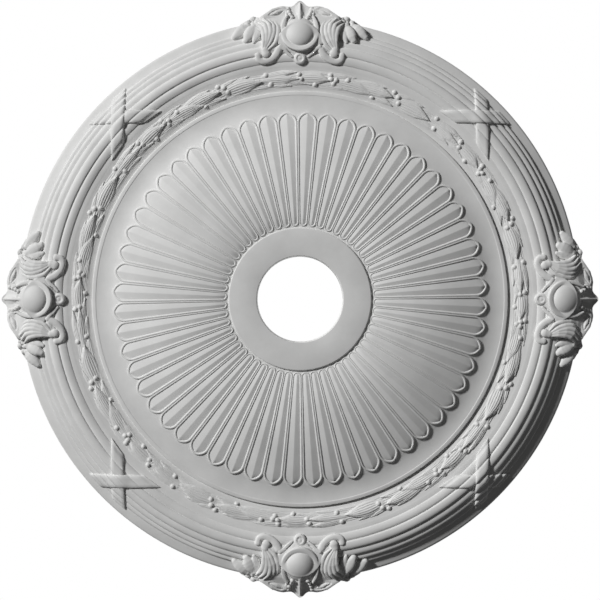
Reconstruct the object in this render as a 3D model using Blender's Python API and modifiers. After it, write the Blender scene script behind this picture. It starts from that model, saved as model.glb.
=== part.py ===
"""Ceiling rose: one cast and primed piece, modelled as it hangs, face down, with its flat back on Z = 0.

The face is a turned body with 56 ridged petals round a plain centre ring, a plain coved band, a laurel
garland and a border of reeds. Four cartouches stand on the axes of the border, and ribbons cross on its
diagonals. Depths are measured down from the ceiling, and angles turn from +X towards +Y.
"""

import math
from typing import NamedTuple

import bmesh
import bpy
import numpy as np
from mathutils import Matrix, Vector

# Widths of the rings of the face, from the hole outwards, in metres.
HOLE_RADIUS = 0.0508
RING_WIDTH = 0.0331
PETAL_LENGTH = 0.1366
BAND_WIDTH = 0.0249
LIP_WIDTH = 0.0037
GARLAND_WIDTH = 0.0284
FLAT_WIDTH = 0.0114

# Depths below the ceiling, in metres.
RIM_DEPTH = 0.0115
FLAT_INNER_DEPTH = 0.0160
GARLAND_INNER_FOOT = 0.0293
LIP_DEPTH = 0.0312
COVE_DEPTH = 0.0308
BAND_TOP_DEPTH = 0.0344
FIELD_CREST_DEPTH = 0.0570
FIELD_START_DEPTH = 0.0540
RING_DEPTH = 0.0555

BODY_FACETS = 44
COVE_FROM_LIP = 0.0042
COVE_HOLLOW = 0.25

# Petals.
PETALS = 56
PETAL_PHASE = math.radians(2.0)
PETAL_RISE = 0.0032
PETAL_ROOT = 0.0014
GROOVE_DEPTH = 0.0026
EAVES_DROP = 0.0011
EAVES_PLACE = 0.86
FIELD_CREST_OFFSET = 0.0348
FIELD_FALL_POWER = 1.6
FIELD_MIDDLE = 0.45

# Garland: staggered rows of laurel leaves round a convex ring.
GARLAND_BULGE = 0.0042
GARLAND_SINK = 0.0008
GARLAND_ROOT = 0.0030
GARLAND_LEAVES = 40
GARLAND_ROWS = 3
GARLAND_LEAF_RISE = 0.0024
# Place along a garland leaf and its rise there, on its middle line and in the dip beside it.
GARLAND_CREST = ((0.08, 0.25), (0.94, 1.00))
GARLAND_DIP = ((0.00, 0.00), (0.72, 0.20))

# Cross-sections of a cartouche's leaf: place along it, width and rise, as shares of the full ones.
LEAF_SECTIONS = ((0.0, 0.45, 0.6), (0.6, 1.0, 1.0), (1.0, 0.15, 0.6))
LEAF_EDGE = 0.45

# Ribbons: straps that cross on the diagonals, half a right angle from the radius.
STRAP_WIDTH = 0.0161
STRAP_THICKNESS = 0.0014
STRAP_ROOT = 0.0045
STRAP_CROSSING_INSET = 0.0290
STRAP_OUTER_REACH = 0.0340
STRAP_INNER_REACH = 0.0440
STRAP_STATIONS = (-1.0, -0.7, -0.22, 0.35, 1.0)

# Cartouches on the axes of the border. Their places are measured from the middle of the boss:
# outwards, then sideways.
QUARTERS = 4
BOSS_INSET = 0.0176
BOSS_RADIUS = 0.0157
BOSS_RISE = 0.0120
BOSS_FACETS = 10
BOSS_SHOULDER = (0.80, 0.60)
BOSS_TOP = (0.36, 0.94)
COLLAR_RADIUS = 0.0207
COLLAR_WIDTH = 0.0042
COLLAR_RISE = 0.0024
COLLAR_BATTER = 0.0010
COLLAR_STAND = 0.0096
PLATE_STAND = 0.0015
PLATE_OUTLINE = (
    (0.0391, 0.0),
    (0.0305, 0.0097),
    (0.0349, 0.0221),
    (0.0332, 0.0368),
    (0.0211, 0.0487),
    (0.0188, 0.0627),
    (0.0041, 0.0787),
    (-0.0042, 0.0607),
)
VOLUTE_PLACE = (0.0248, 0.0299)
VOLUTE_RADIUS = 0.0100
VOLUTE_RISE = 0.0080
EYELET_PLACE = (-0.0305, 0.0)
EYELET_RADIUS = 0.0058
EYELET_RISE = 0.0045
DOME_SEGMENTS = 6
DOME_RINGS = 4
SCROLL_PATH = ((-0.0242, 0.0204), (-0.0368, 0.0363), (-0.0320, 0.0481))
SCROLL_RADII = (0.0035, 0.0052, 0.0041)
SCROLL_RISE = 0.0025

WELD = 0.000001

FINISH_COLOUR = (0.80, 0.79, 0.77, 1.0)
FINISH_ROUGHNESS = 0.62


class Moulding(NamedTuple):
    """One round moulding of the border.

    Fields: its width, the depth of its inner foot, the bulge above the line between its feet, its facets.
    """

    width: float
    foot: float
    bulge: float
    facets: int


class Leaf(NamedTuple):
    """A leaf of a cartouche: the places of its base and tip, its width and the rise of its rib."""

    base: tuple
    tip: tuple
    width: float
    rise: float


FINIAL = Leaf((0.0166, 0.0), PLATE_OUTLINE[0], 0.0165, 0.0045)
SIDE_LEAVES = (
    Leaf((-0.0210, 0.0342), (0.0174, 0.0565), 0.0175, 0.0065),
    Leaf((-0.0112, 0.0506), (-0.0004, 0.0823), 0.0150, 0.0045),
)

# The mouldings between the outer flat and the garland, from the rim inwards.
BORDER = (
    Moulding(0.0052, 0.0203, 0.0016, 2),
    Moulding(0.0068, 0.0246, 0.0020, 2),
    Moulding(0.0063, 0.0274, 0.0018, 2),
    Moulding(0.0115, 0.0282, 0.0036, 3),
    Moulding(0.0095, 0.0275, 0.0026, 2),
    Moulding(0.0059, 0.0266, 0.0, 1),
)

RING_RADIUS = HOLE_RADIUS + RING_WIDTH
PETAL_END = RING_RADIUS + PETAL_LENGTH
BAND_END = PETAL_END + BAND_WIDTH
GARLAND_START = BAND_END + LIP_WIDTH
GARLAND_END = GARLAND_START + GARLAND_WIDTH
FLAT_START = GARLAND_END + sum(moulding.width for moulding in BORDER)
RIM_RADIUS = FLAT_START + FLAT_WIDTH

PITCH = 2 * math.pi / PETALS
FIELD_CREST_RADIUS = RING_RADIUS + FIELD_CREST_OFFSET
FIELD_END_DEPTH = BAND_TOP_DEPTH + PETAL_RISE
PLATE_DEPTH = RIM_DEPTH + PLATE_STAND


def arc_between(outer, inner, bulge, facets):
    """Points of a bulging line from the outer foot to the inner foot, without the outer foot."""
    start = Vector(outer)
    chord = Vector(inner) - start
    normal = Vector((chord.y, -chord.x)).normalized()
    points = []
    for step in range(1, facets):
        share = step / facets
        points.append(tuple(start + chord * share + normal * bulge * math.sin(math.pi * share)))
    points.append(tuple(inner))
    return points


def border_points():
    """(radius, depth) along the border, from the inner edge of the outer flat to the garland."""
    points = [(FLAT_START, FLAT_INNER_DEPTH)]
    radius = FLAT_START
    for moulding in BORDER:
        inner = (radius - moulding.width, moulding.foot)
        points += arc_between(points[-1], inner, moulding.bulge, moulding.facets)
        radius = inner[0]
    return points


def field_depth(radius):
    """Depth of the petals' ridges: a low crown that falls away to the plain band."""
    if radius < FIELD_CREST_RADIUS:
        share = (FIELD_CREST_RADIUS - radius) / FIELD_CREST_OFFSET
        return FIELD_CREST_DEPTH - (FIELD_CREST_DEPTH - FIELD_START_DEPTH) * share**2
    share = (radius - FIELD_CREST_RADIUS) / (PETAL_END - FIELD_CREST_RADIUS)
    return FIELD_CREST_DEPTH - (FIELD_CREST_DEPTH - FIELD_END_DEPTH) * share**FIELD_FALL_POWER


def seat_depth(radius):
    """Depth of the turned body under the petals, which is hidden."""
    share = (radius - RING_RADIUS) / (PETAL_END - RING_RADIUS)
    return FIELD_START_DEPTH - PETAL_RISE + (BAND_TOP_DEPTH - FIELD_START_DEPTH + PETAL_RISE) * share


def body_profile():
    """(radius, depth) round the cross-section of the turned body, from the back of the rim inwards."""
    cove_radius = BAND_END - COVE_FROM_LIP
    band_middle = (PETAL_END + cove_radius) / 2
    band_middle_depth = COVE_DEPTH + (BAND_TOP_DEPTH - COVE_DEPTH) * COVE_HOLLOW
    points = [(RIM_RADIUS, 0.0), (RIM_RADIUS, RIM_DEPTH)]
    points += border_points()
    points += [
        (GARLAND_START, GARLAND_INNER_FOOT),
        (BAND_END, LIP_DEPTH),
        (cove_radius, COVE_DEPTH),
        (band_middle, band_middle_depth),
        (PETAL_END, BAND_TOP_DEPTH),
        (RING_RADIUS, seat_depth(RING_RADIUS)),
        (RING_RADIUS, RING_DEPTH),
        (HOLE_RADIUS, RING_DEPTH),
        (HOLE_RADIUS, 0.0),
    ]
    return points


def face_depth(radius):
    """Depth of the border's crowns at a radius, for what is laid over them."""
    crowns = [(RIM_RADIUS, RIM_DEPTH)]
    points = border_points()
    crowns.append(points[0])
    for before, point, after in zip(points, points[1:], points[2:]):
        if point[1] >= before[1] and point[1] >= after[1]:
            crowns.append(point)
    crowns.append((GARLAND_END, points[-1][1]))
    garland_middle = (GARLAND_START + GARLAND_END) / 2
    crowns.append((garland_middle, GARLAND_INNER_FOOT + GARLAND_BULGE))
    crowns.sort()
    radii = [crown[0] for crown in crowns]
    depths = [crown[1] for crown in crowns]
    return float(np.interp(radius, radii, depths))


def from_boss(place, side=1):
    """Plan position of a place on the cartouche of the +X axis."""
    return RIM_RADIUS - BOSS_INSET + place[0], place[1] * side


def mirrored(outline):
    """A whole outline from its half, which starts on the axis."""
    return list(outline) + [(x, -y) for x, y in reversed(outline[1:])]


def new_object(name, mesh, collection):
    """An object that shows the mesh, in the collection."""
    made = bpy.data.objects.new(name, mesh)
    collection.objects.link(made)
    return made


def mesh_from(name, bm):
    """A mesh data block with the bmesh's faces turned outwards."""
    bmesh.ops.recalc_face_normals(bm, faces=bm.faces)
    mesh = bpy.data.meshes.new(name)
    bm.to_mesh(mesh)
    bm.free()
    return mesh


def loft(name, sections, round_trip=False):
    """A closed solid through rings of equally many points, capped, or joined end to end on a round trip."""
    bm = bmesh.new()
    rings = [[bm.verts.new(point) for point in section] for section in sections]
    for before, after in zip(rings, rings[1:] + rings[:1] if round_trip else rings[1:]):
        for index, vertex in enumerate(before):
            following = (index + 1) % len(before)
            bm.faces.new((vertex, before[following], after[following], after[index]))
    if not round_trip:
        bm.faces.new(rings[0])
        bm.faces.new(rings[-1])
    return mesh_from(name, bm)


def plate(name, outline, depth):
    """A flat solid of the outline, from the ceiling down to the depth."""
    bm = bmesh.new()
    face = bm.faces.new([bm.verts.new((x, y, 0.0)) for x, y in outline])
    lower = bmesh.ops.extrude_face_region(bm, geom=[face])
    moved = [item for item in lower["geom"] if isinstance(item, bmesh.types.BMVert)]
    bmesh.ops.translate(bm, verts=moved, vec=(0.0, 0.0, -depth))
    return mesh_from(name, bm)


def dome(name, centre, radius, height):
    """An ellipsoid, for a small swelling that is sunk to its middle."""
    bm = bmesh.new()
    bmesh.ops.create_uvsphere(bm, u_segments=DOME_SEGMENTS, v_segments=DOME_RINGS, radius=radius)
    bmesh.ops.scale(bm, verts=bm.verts, vec=(1.0, 1.0, height / radius))
    bmesh.ops.translate(bm, verts=bm.verts, vec=centre)
    return mesh_from(name, bm)


def rod(name, points, radii):
    """A four-sided rod along the points, as a mesh with its caps welded on."""
    curve = bpy.data.curves.new(name, "CURVE")
    curve.dimensions = "3D"
    curve.bevel_depth = 1.0
    curve.bevel_resolution = 0
    curve.use_fill_caps = True
    spline = curve.splines.new("POLY")
    spline.points.add(len(points) - 1)
    for index, point in enumerate(points):
        spline.points[index].co = (*point, 1.0)
        spline.points[index].radius = radii[index]
    made = bpy.data.objects.new(name, curve)
    bpy.context.scene.collection.objects.link(made)
    graph = bpy.context.evaluated_depsgraph_get()
    mesh = bpy.data.meshes.new_from_object(made.evaluated_get(graph))
    bpy.data.objects.remove(made)
    bm = bmesh.new()
    bm.from_mesh(mesh)
    bmesh.ops.remove_doubles(bm, verts=bm.verts, dist=WELD)
    return mesh_from(name, bm)


def leaf(name, shape, side=1):
    """A pointed leaf of the cartouche with a raised rib, sunk in what it lies on."""
    start = Vector(from_boss(shape.base, side))
    along = Vector(from_boss(shape.tip, side)) - start
    across = Vector((-along.y, along.x)).normalized() * shape.width / 2
    base_depth = max(face_depth(start.length), PLATE_DEPTH)
    sections = []
    for share, spread, lift in LEAF_SECTIONS:
        centre = start + along * share
        left = centre + across * spread
        right = centre - across * spread
        level = base_depth + (PLATE_DEPTH - base_depth) * share
        edge = -(level + shape.rise * lift * LEAF_EDGE)
        root = -(level - shape.rise)
        sections.append(
            (
                (left.x, left.y, root),
                (left.x, left.y, edge),
                (centre.x, centre.y, -(level + shape.rise * lift)),
                (right.x, right.y, edge),
                (right.x, right.y, root),
            )
        )
    return loft(name, sections)


def add_body(collection):
    """The turned body."""
    bm = bmesh.new()
    ring = [bm.verts.new((radius, 0.0, -depth)) for radius, depth in body_profile()]
    for before, after in zip(ring, ring[1:] + ring[:1]):
        bm.edges.new((before, after))
    mesh = bpy.data.meshes.new("ceiling_rose")
    bm.to_mesh(mesh)
    bm.free()
    body = new_object("ceiling_rose", mesh, collection)
    screw = body.modifiers.new("Turned body", "SCREW")
    screw.axis = "Z"
    screw.steps = BODY_FACETS
    screw.render_steps = BODY_FACETS
    screw.merge_threshold = WELD
    return body


def add_petals(collection):
    """All petals as one ring: sections at each groove, eaves, ridge and eaves, with the ends cut round."""
    start = RING_RADIUS - PETAL_ROOT
    end_width = PETAL_END * math.tan(PITCH / 2)
    middle = FIELD_CREST_RADIUS + (PETAL_END - FIELD_CREST_RADIUS) * FIELD_MIDDLE
    eaves_short = end_width * (1 - math.sqrt(1 - EAVES_PLACE**2))
    # Place across the petal in half widths, drop below the ridge, and how far the end falls short.
    lines = (
        (-1.0, GROOVE_DEPTH, end_width),
        (-EAVES_PLACE, EAVES_DROP, eaves_short),
        (0.0, 0.0, 0.0),
        (EAVES_PLACE, EAVES_DROP, eaves_short),
    )
    sections = []
    for petal in range(PETALS):
        for place, drop, short in lines:
            angle = PETAL_PHASE + (petal + place / 2) * PITCH
            end = PETAL_END - short
            section = [(start, seat_depth(start) - PETAL_ROOT)]
            for radius in (start, FIELD_CREST_RADIUS, middle, end):
                section.append((radius, field_depth(radius) - drop))
            section.append((end, seat_depth(end) - PETAL_ROOT))
            sections.append([(r * math.cos(angle), r * math.sin(angle), -depth) for r, depth in section])
    new_object("petals", loft("petals", sections, True), collection)


def add_garland(collection):
    """The garland: a convex ring, shaped into staggered rows of leaves that point towards +angle."""
    columns = len(GARLAND_CREST)
    across = 2 * GARLAND_ROWS
    buried_rows = 2
    minor = across + 1 + buried_rows
    # A plain ring, whose points are then put in place by their column and row.
    bpy.ops.mesh.primitive_torus_add(
        major_segments=GARLAND_LEAVES * columns, minor_segments=minor, major_radius=1.0, minor_radius=0.25
    )
    garland = bpy.context.object
    garland.name = "garland"
    for owner in list(garland.users_collection):
        owner.objects.unlink(garland)
    collection.objects.link(garland)
    outer = (GARLAND_END, BORDER[-1].foot - GARLAND_SINK)
    inner = (GARLAND_START, GARLAND_INNER_FOOT - GARLAND_SINK)
    section = [outer] + arc_between(outer, inner, GARLAND_BULGE, across)
    section.append((inner[0], inner[1] - GARLAND_ROOT))
    section.append((outer[0], outer[1] - GARLAND_ROOT))
    leaf_pitch = 2 * math.pi / GARLAND_LEAVES
    for vertex in garland.data.vertices:
        x, y, z = vertex.co
        turn = math.atan2(y, x) % (2 * math.pi)
        column = round(turn / leaf_pitch * columns)
        row = round(math.atan2(z, math.hypot(x, y) - 1.0) % (2 * math.pi) / (2 * math.pi) * minor) % minor
        place, rise = (GARLAND_CREST if row % 2 else GARLAND_DIP)[column % columns]
        stagger = min(row, across) / across
        angle = (column // columns + place + stagger) * leaf_pitch
        radius, depth = section[row]
        if 0 < row < across:
            depth += GARLAND_LEAF_RISE * rise
        vertex.co = (radius * math.cos(angle), radius * math.sin(angle), -depth)
    bm = bmesh.new()
    bm.from_mesh(garland.data)
    bmesh.ops.recalc_face_normals(bm, faces=bm.faces)
    bm.to_mesh(garland.data)
    bm.free()


def strap(name, slant, thickness):
    """A strap laid over the border across the axis, slanting from its outer end to its inner end."""
    crossing = RIM_RADIUS - STRAP_CROSSING_INSET
    along = Vector((1.0, slant)).normalized()
    side = Vector((-along.y, along.x)) * STRAP_WIDTH / 2
    sections = []
    for share in STRAP_STATIONS:
        reach = STRAP_OUTER_REACH if share > 0 else STRAP_INNER_REACH
        centre = Vector((crossing, 0.0)) + along * share * reach
        left = centre + side
        right = centre - side
        left_depth = face_depth(left.length)
        right_depth = face_depth(right.length)
        sections.append(
            (
                (left.x, left.y, -(left_depth - STRAP_ROOT)),
                (left.x, left.y, -(left_depth + thickness)),
                (right.x, right.y, -(right_depth + thickness)),
                (right.x, right.y, -(right_depth - STRAP_ROOT)),
            )
        )
    return loft(name, sections)


def add_ribbons(collection):
    """A crossed pair of straps on each diagonal. The upper one's outer end lies towards +angle."""
    meshes = (strap("strap_under", -1.0, STRAP_THICKNESS), strap("strap_over", 1.0, 2 * STRAP_THICKNESS))
    for quarter in range(QUARTERS):
        turn = Matrix.Rotation(2 * math.pi * (quarter + 0.5) / QUARTERS, 4, "Z")
        for mesh in meshes:
            made = new_object(f"{mesh.name}_{quarter + 1}", mesh, collection)
            made.matrix_world = turn


def medallion():
    """The cartouche's middle, turned: the boss, the dip round it, its collar and the collar's wall."""
    centre = Vector((*from_boss((0.0, 0.0)), 0.0))
    collar_depth = face_depth(centre.x) + COLLAR_STAND
    wall_radius = COLLAR_RADIUS + COLLAR_WIDTH / 2
    rings = []
    for radius, depth in (
        (wall_radius + COLLAR_BATTER, PLATE_DEPTH / 2),
        (wall_radius, collar_depth),
        (COLLAR_RADIUS, collar_depth + COLLAR_RISE),
        (BOSS_RADIUS + COLLAR_BATTER, collar_depth),
        (BOSS_RADIUS * BOSS_SHOULDER[0], collar_depth + BOSS_RISE * BOSS_SHOULDER[1]),
        (BOSS_RADIUS * BOSS_TOP[0], collar_depth + BOSS_RISE * BOSS_TOP[1]),
    ):
        spoke = Vector((radius, 0.0, -depth))
        turns = (Matrix.Rotation(2 * math.pi * step / BOSS_FACETS, 3, "Z") for step in range(BOSS_FACETS))
        rings.append([centre + turn @ spoke for turn in turns])
    return loft("medallion", rings)


def scroll(name, side):
    """A C-scroll that the cartouche stands on."""
    points = []
    for place in SCROLL_PATH:
        x, y = from_boss(place, side)
        points.append((x, y, -(face_depth(math.hypot(x, y)) + SCROLL_RISE)))
    return rod(name, points, SCROLL_RADII)


def cartouche_meshes():
    """The meshes of one cartouche, on the +X axis."""
    outline = [from_boss(place) for place in PLATE_OUTLINE]
    eyelet_x, eyelet_y = from_boss(EYELET_PLACE)
    eyelet_centre = (eyelet_x, eyelet_y, -face_depth(eyelet_x))
    meshes = [
        plate("cartouche_plate", mirrored(outline), PLATE_DEPTH),
        medallion(),
        dome("eyelet", eyelet_centre, EYELET_RADIUS, EYELET_RISE),
        leaf("finial_leaf", FINIAL),
    ]
    for side, hand in ((1, "left"), (-1, "right")):
        x, y = from_boss(VOLUTE_PLACE, side)
        meshes.append(dome(f"volute_{hand}", (x, y, -PLATE_DEPTH), VOLUTE_RADIUS, VOLUTE_RISE))
        meshes.append(scroll(f"scroll_{hand}", side))
        for number, shape in enumerate(SIDE_LEAVES, 1):
            meshes.append(leaf(f"leaf_{hand}_{number}", shape, side))
    return meshes


def add_cartouches(collection):
    """The same cartouche on each of the four axes."""
    meshes = cartouche_meshes()
    for quarter in range(QUARTERS):
        turn = Matrix.Rotation(2 * math.pi * quarter / QUARTERS, 4, "Z")
        for mesh in meshes:
            made = new_object(f"{mesh.name}_{quarter + 1}", mesh, collection)
            made.matrix_world = turn


def finish_material():
    """Factory primer on cast urethane foam: matt, near white."""
    material = bpy.data.materials.new("primed_urethane")
    material.use_nodes = True
    shader = material.node_tree.nodes["Principled BSDF"]
    shader.inputs["Base Color"].default_value = FINISH_COLOUR
    shader.inputs["Roughness"].default_value = FINISH_ROUGHNESS
    shader.inputs["Metallic"].default_value = 0.0
    return material


def main():
    for existing in list(bpy.data.objects):
        bpy.data.objects.remove(existing)
    scene = bpy.context.scene
    part = bpy.data.collections.new("ceiling rose")
    carving = bpy.data.collections.new("carving joined to the rose")
    scene.collection.children.link(part)
    scene.collection.children.link(carving)

    body = add_body(part)
    add_petals(carving)
    add_garland(carving)
    add_ribbons(carving)
    add_cartouches(carving)
    for piece in carving.objects:
        piece.hide_render = True
        piece.display_type = "WIRE"

    join = body.modifiers.new("Carving", "BOOLEAN")
    join.operation = "UNION"
    join.solver = "EXACT"
    join.operand_type = "COLLECTION"
    join.collection = carving
    shading = body.modifiers.new("Flat faces stay flat", "WEIGHTED_NORMAL")
    shading.keep_sharp = True
    body.data.materials.append(finish_material())


main()
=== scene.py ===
"""Looks of a ceiling rose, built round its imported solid.

The rose hangs face down, its flat back on Z = 0 and its axis on Z. Sizes are written in millimetres and
turned to metres by MM, which the CAD box gives. Depths are measured down from the ceiling. Angles turn
from +X towards +Y.
"""

import logging
import math
from contextlib import contextmanager
from dataclasses import dataclass
from enum import Enum
from typing import Callable, Iterator, Sequence

import bpy
import numpy as np
from mathutils import Matrix, Vector


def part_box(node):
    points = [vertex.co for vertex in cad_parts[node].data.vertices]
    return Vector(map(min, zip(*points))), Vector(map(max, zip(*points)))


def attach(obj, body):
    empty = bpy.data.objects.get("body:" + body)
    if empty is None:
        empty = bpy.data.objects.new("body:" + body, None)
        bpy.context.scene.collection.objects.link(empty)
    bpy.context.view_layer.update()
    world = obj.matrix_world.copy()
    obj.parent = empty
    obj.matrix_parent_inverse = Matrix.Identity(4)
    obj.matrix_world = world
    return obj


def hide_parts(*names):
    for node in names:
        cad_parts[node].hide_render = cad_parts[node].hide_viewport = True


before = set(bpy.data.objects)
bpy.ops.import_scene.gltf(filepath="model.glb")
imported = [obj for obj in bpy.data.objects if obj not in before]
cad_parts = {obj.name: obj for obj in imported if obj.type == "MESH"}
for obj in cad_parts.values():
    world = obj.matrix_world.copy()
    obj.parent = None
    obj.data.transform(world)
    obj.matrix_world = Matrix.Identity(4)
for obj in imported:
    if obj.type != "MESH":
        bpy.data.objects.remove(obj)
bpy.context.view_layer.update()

CAD_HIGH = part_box("ceiling_rose")[1]
REACH = 355.6
MM = CAD_HIGH.x / REACH
QUARTERS = 4

log = logging.getLogger("ceiling rose")

Place = Callable[[np.ndarray, np.ndarray], np.ndarray]
Pair = tuple[float, float]


class Section(Enum):
    """Cross-section of a carved stroke."""

    ROUND = "round"
    RIDGE = "ridge"
    PILLOW = "pillow"
    LEAF = "leaf"


# Modelling helpers


def picked(piece: bpy.types.Object) -> None:
    """Selects the piece alone and makes it the active one.

    Args:
        piece: The piece.
    """
    bpy.ops.object.select_all(action="DESELECT")
    piece.select_set(True)
    bpy.context.view_layer.objects.active = piece


@contextmanager
def editing(piece: bpy.types.Object, whole: bool = True) -> Iterator[None]:
    """Edit mode on one piece.

    Args:
        piece: The mesh piece.
        whole: Whether all of it is selected first. Its own selection is kept otherwise.

    Yields:
        Nothing, while the piece is in edit mode.
    """
    picked(piece)
    bpy.ops.object.mode_set(mode="EDIT")
    if whole:
        bpy.ops.mesh.select_all(action="SELECT")
    yield
    bpy.ops.object.mode_set(mode="OBJECT")


def select_open_edges() -> None:
    """Selects the open edges of the mesh in edit mode, and nothing else."""
    bpy.ops.mesh.select_mode(type="EDGE")
    bpy.ops.mesh.select_all(action="DESELECT")
    bpy.ops.mesh.select_non_manifold(extend=False)


def turn_outwards() -> None:
    """Turns all faces of the mesh in edit mode outwards."""
    bpy.ops.mesh.select_all(action="SELECT")
    bpy.ops.mesh.normals_make_consistent(inside=False)


def put(piece: bpy.types.Object, points: np.ndarray) -> None:
    """Puts the piece's points in place.

    Args:
        piece: The mesh piece.
        points: One row of x, y and z in metres for each point.
    """
    piece.data.vertices.foreach_set("co", np.asarray(points, np.float32).ravel())
    piece.data.update()


def points_of(piece: bpy.types.Object) -> np.ndarray:
    """The piece's points.

    Args:
        piece: The mesh piece.

    Returns:
        One row of x, y and z in metres for each point.
    """
    flat = np.empty(len(piece.data.vertices) * 3, np.float32)
    piece.data.vertices.foreach_get("co", flat)
    return flat.reshape(-1, 3).astype(float)


def shaped_grid(name: str, columns: int, rows: int, place: Place) -> bpy.types.Object:
    """A grid primitive whose points are put in place by their column and row.

    Args:
        name: The piece's name.
        columns: Faces along the first direction.
        rows: Faces along the second direction.
        place: Gives the points in metres from the shares, 0 to 1, along both directions.

    Returns:
        The piece.
    """
    bpy.ops.mesh.primitive_grid_add(x_subdivisions=columns, y_subdivisions=rows, size=2.0)
    piece = bpy.context.object
    piece.name = piece.data.name = name
    flat = points_of(piece)
    put(piece, place((flat[:, 0] + 1) / 2, (flat[:, 1] + 1) / 2))
    return piece


def welded(piece: bpy.types.Object, weld: float = 0.002) -> None:
    """Merges the piece's doubles and turns its faces outwards.

    Args:
        piece: The mesh piece.
        weld: Points nearer to each other than this many millimetres become one.
    """
    with editing(piece):
        bpy.ops.mesh.remove_doubles(threshold=weld * MM)
        turn_outwards()


def capped(piece: bpy.types.Object) -> None:
    """Closes the openings of a welded shell with flat ends.

    Args:
        piece: The mesh piece.
    """
    with editing(piece):
        select_open_edges()
        bpy.ops.mesh.edge_face_add()
        turn_outwards()


def backed(piece: bpy.types.Object, level: float) -> None:
    """Closes an open sheet with walls and a flat back.

    Args:
        piece: The sheet.
        level: Depth of the back, in millimetres.
    """
    with editing(piece):
        select_open_edges()
        bpy.ops.mesh.extrude_edges_move()
    for vertex in piece.data.vertices:
        if vertex.select:
            vertex.co.z = -level * MM
    with editing(piece, whole=False):
        bpy.ops.mesh.edge_face_add()
        turn_outwards()


def smoothed(piece: bpy.types.Object, degrees: float) -> None:
    """Shades the piece smooth.

    Args:
        piece: The mesh piece.
        degrees: Edges sharper than this stay sharp.
    """
    picked(piece)
    bpy.ops.object.shade_smooth_by_angle(angle=math.radians(degrees))


def joined(pieces: Sequence[bpy.types.Object], name: str) -> bpy.types.Object:
    """Joins pieces into one.

    Args:
        pieces: The pieces.
        name: The name of the whole.

    Returns:
        The whole.
    """
    picked(pieces[0])
    for piece in pieces:
        piece.select_set(True)
    bpy.ops.object.join()
    pieces[0].name = pieces[0].data.name = name
    return pieces[0]


def turned_copies(piece: bpy.types.Object, count: int, names: str) -> list[bpy.types.Object]:
    """Copies the piece round the axis, each copy with its own mesh; the piece itself is the first.

    Args:
        piece: The piece on the +X axis.
        count: How many stand round the axis.
        names: The names' stem, to which a number is added.

    Returns:
        All of them.
    """
    made = [piece]
    for _ in range(count - 1):
        copy = piece.copy()
        copy.data = piece.data.copy()
        bpy.context.collection.objects.link(copy)
        made.append(copy)
    for number, copy in enumerate(made):
        copy.name = copy.data.name = f"{names}_{number + 1}"
        copy.data.transform(Matrix.Rotation(2 * math.pi * number / count, 4, "Z"))
    return made


def read_off(pairs: Sequence[Pair], at: np.ndarray) -> np.ndarray:
    """Reads values off a line of pairs.

    Args:
        pairs: Place and value of each point, with rising places.
        at: The places.

    Returns:
        The values there.
    """
    return np.interp(at, [pair[0] for pair in pairs], [pair[1] for pair in pairs])


def eased(points: Sequence[Pair], radii: Sequence[float], steps: int = 3) -> list[Pair]:
    """Rounds the corners of a line.

    Args:
        points: The corners.
        radii: How far from each corner its rounding starts, 0 for a sharp one.
        steps: Facets of each rounding.

    Returns:
        The points of the rounded line.
    """
    made: list[Pair] = []
    for index, (corner, radius) in enumerate(zip(points, radii)):
        if radius == 0 or index in (0, len(points) - 1):
            made.append(corner)
            continue
        here = Vector(corner)
        before = (Vector(points[index - 1]) - here).normalized() * radius
        after = (Vector(points[index + 1]) - here).normalized() * radius
        for step in range(steps + 1):
            share = step / steps
            point = here + before * (1 - share) ** 2 + after * share**2
            made.append((point.x, point.y))
    return made


# The face's section, which all pieces share


@dataclass(frozen=True)
class Moulding:
    """One moulding of the border, from its outer edge inwards.

    Attributes:
        width: Its radial width.
        step: How far it stands over its outer neighbour's edge, as a steep step.
        slopes: Slopes of its face in degrees at even places across it; it rises inwards above 0.
    """

    width: float
    step: float
    slopes: tuple[float, ...]


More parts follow.
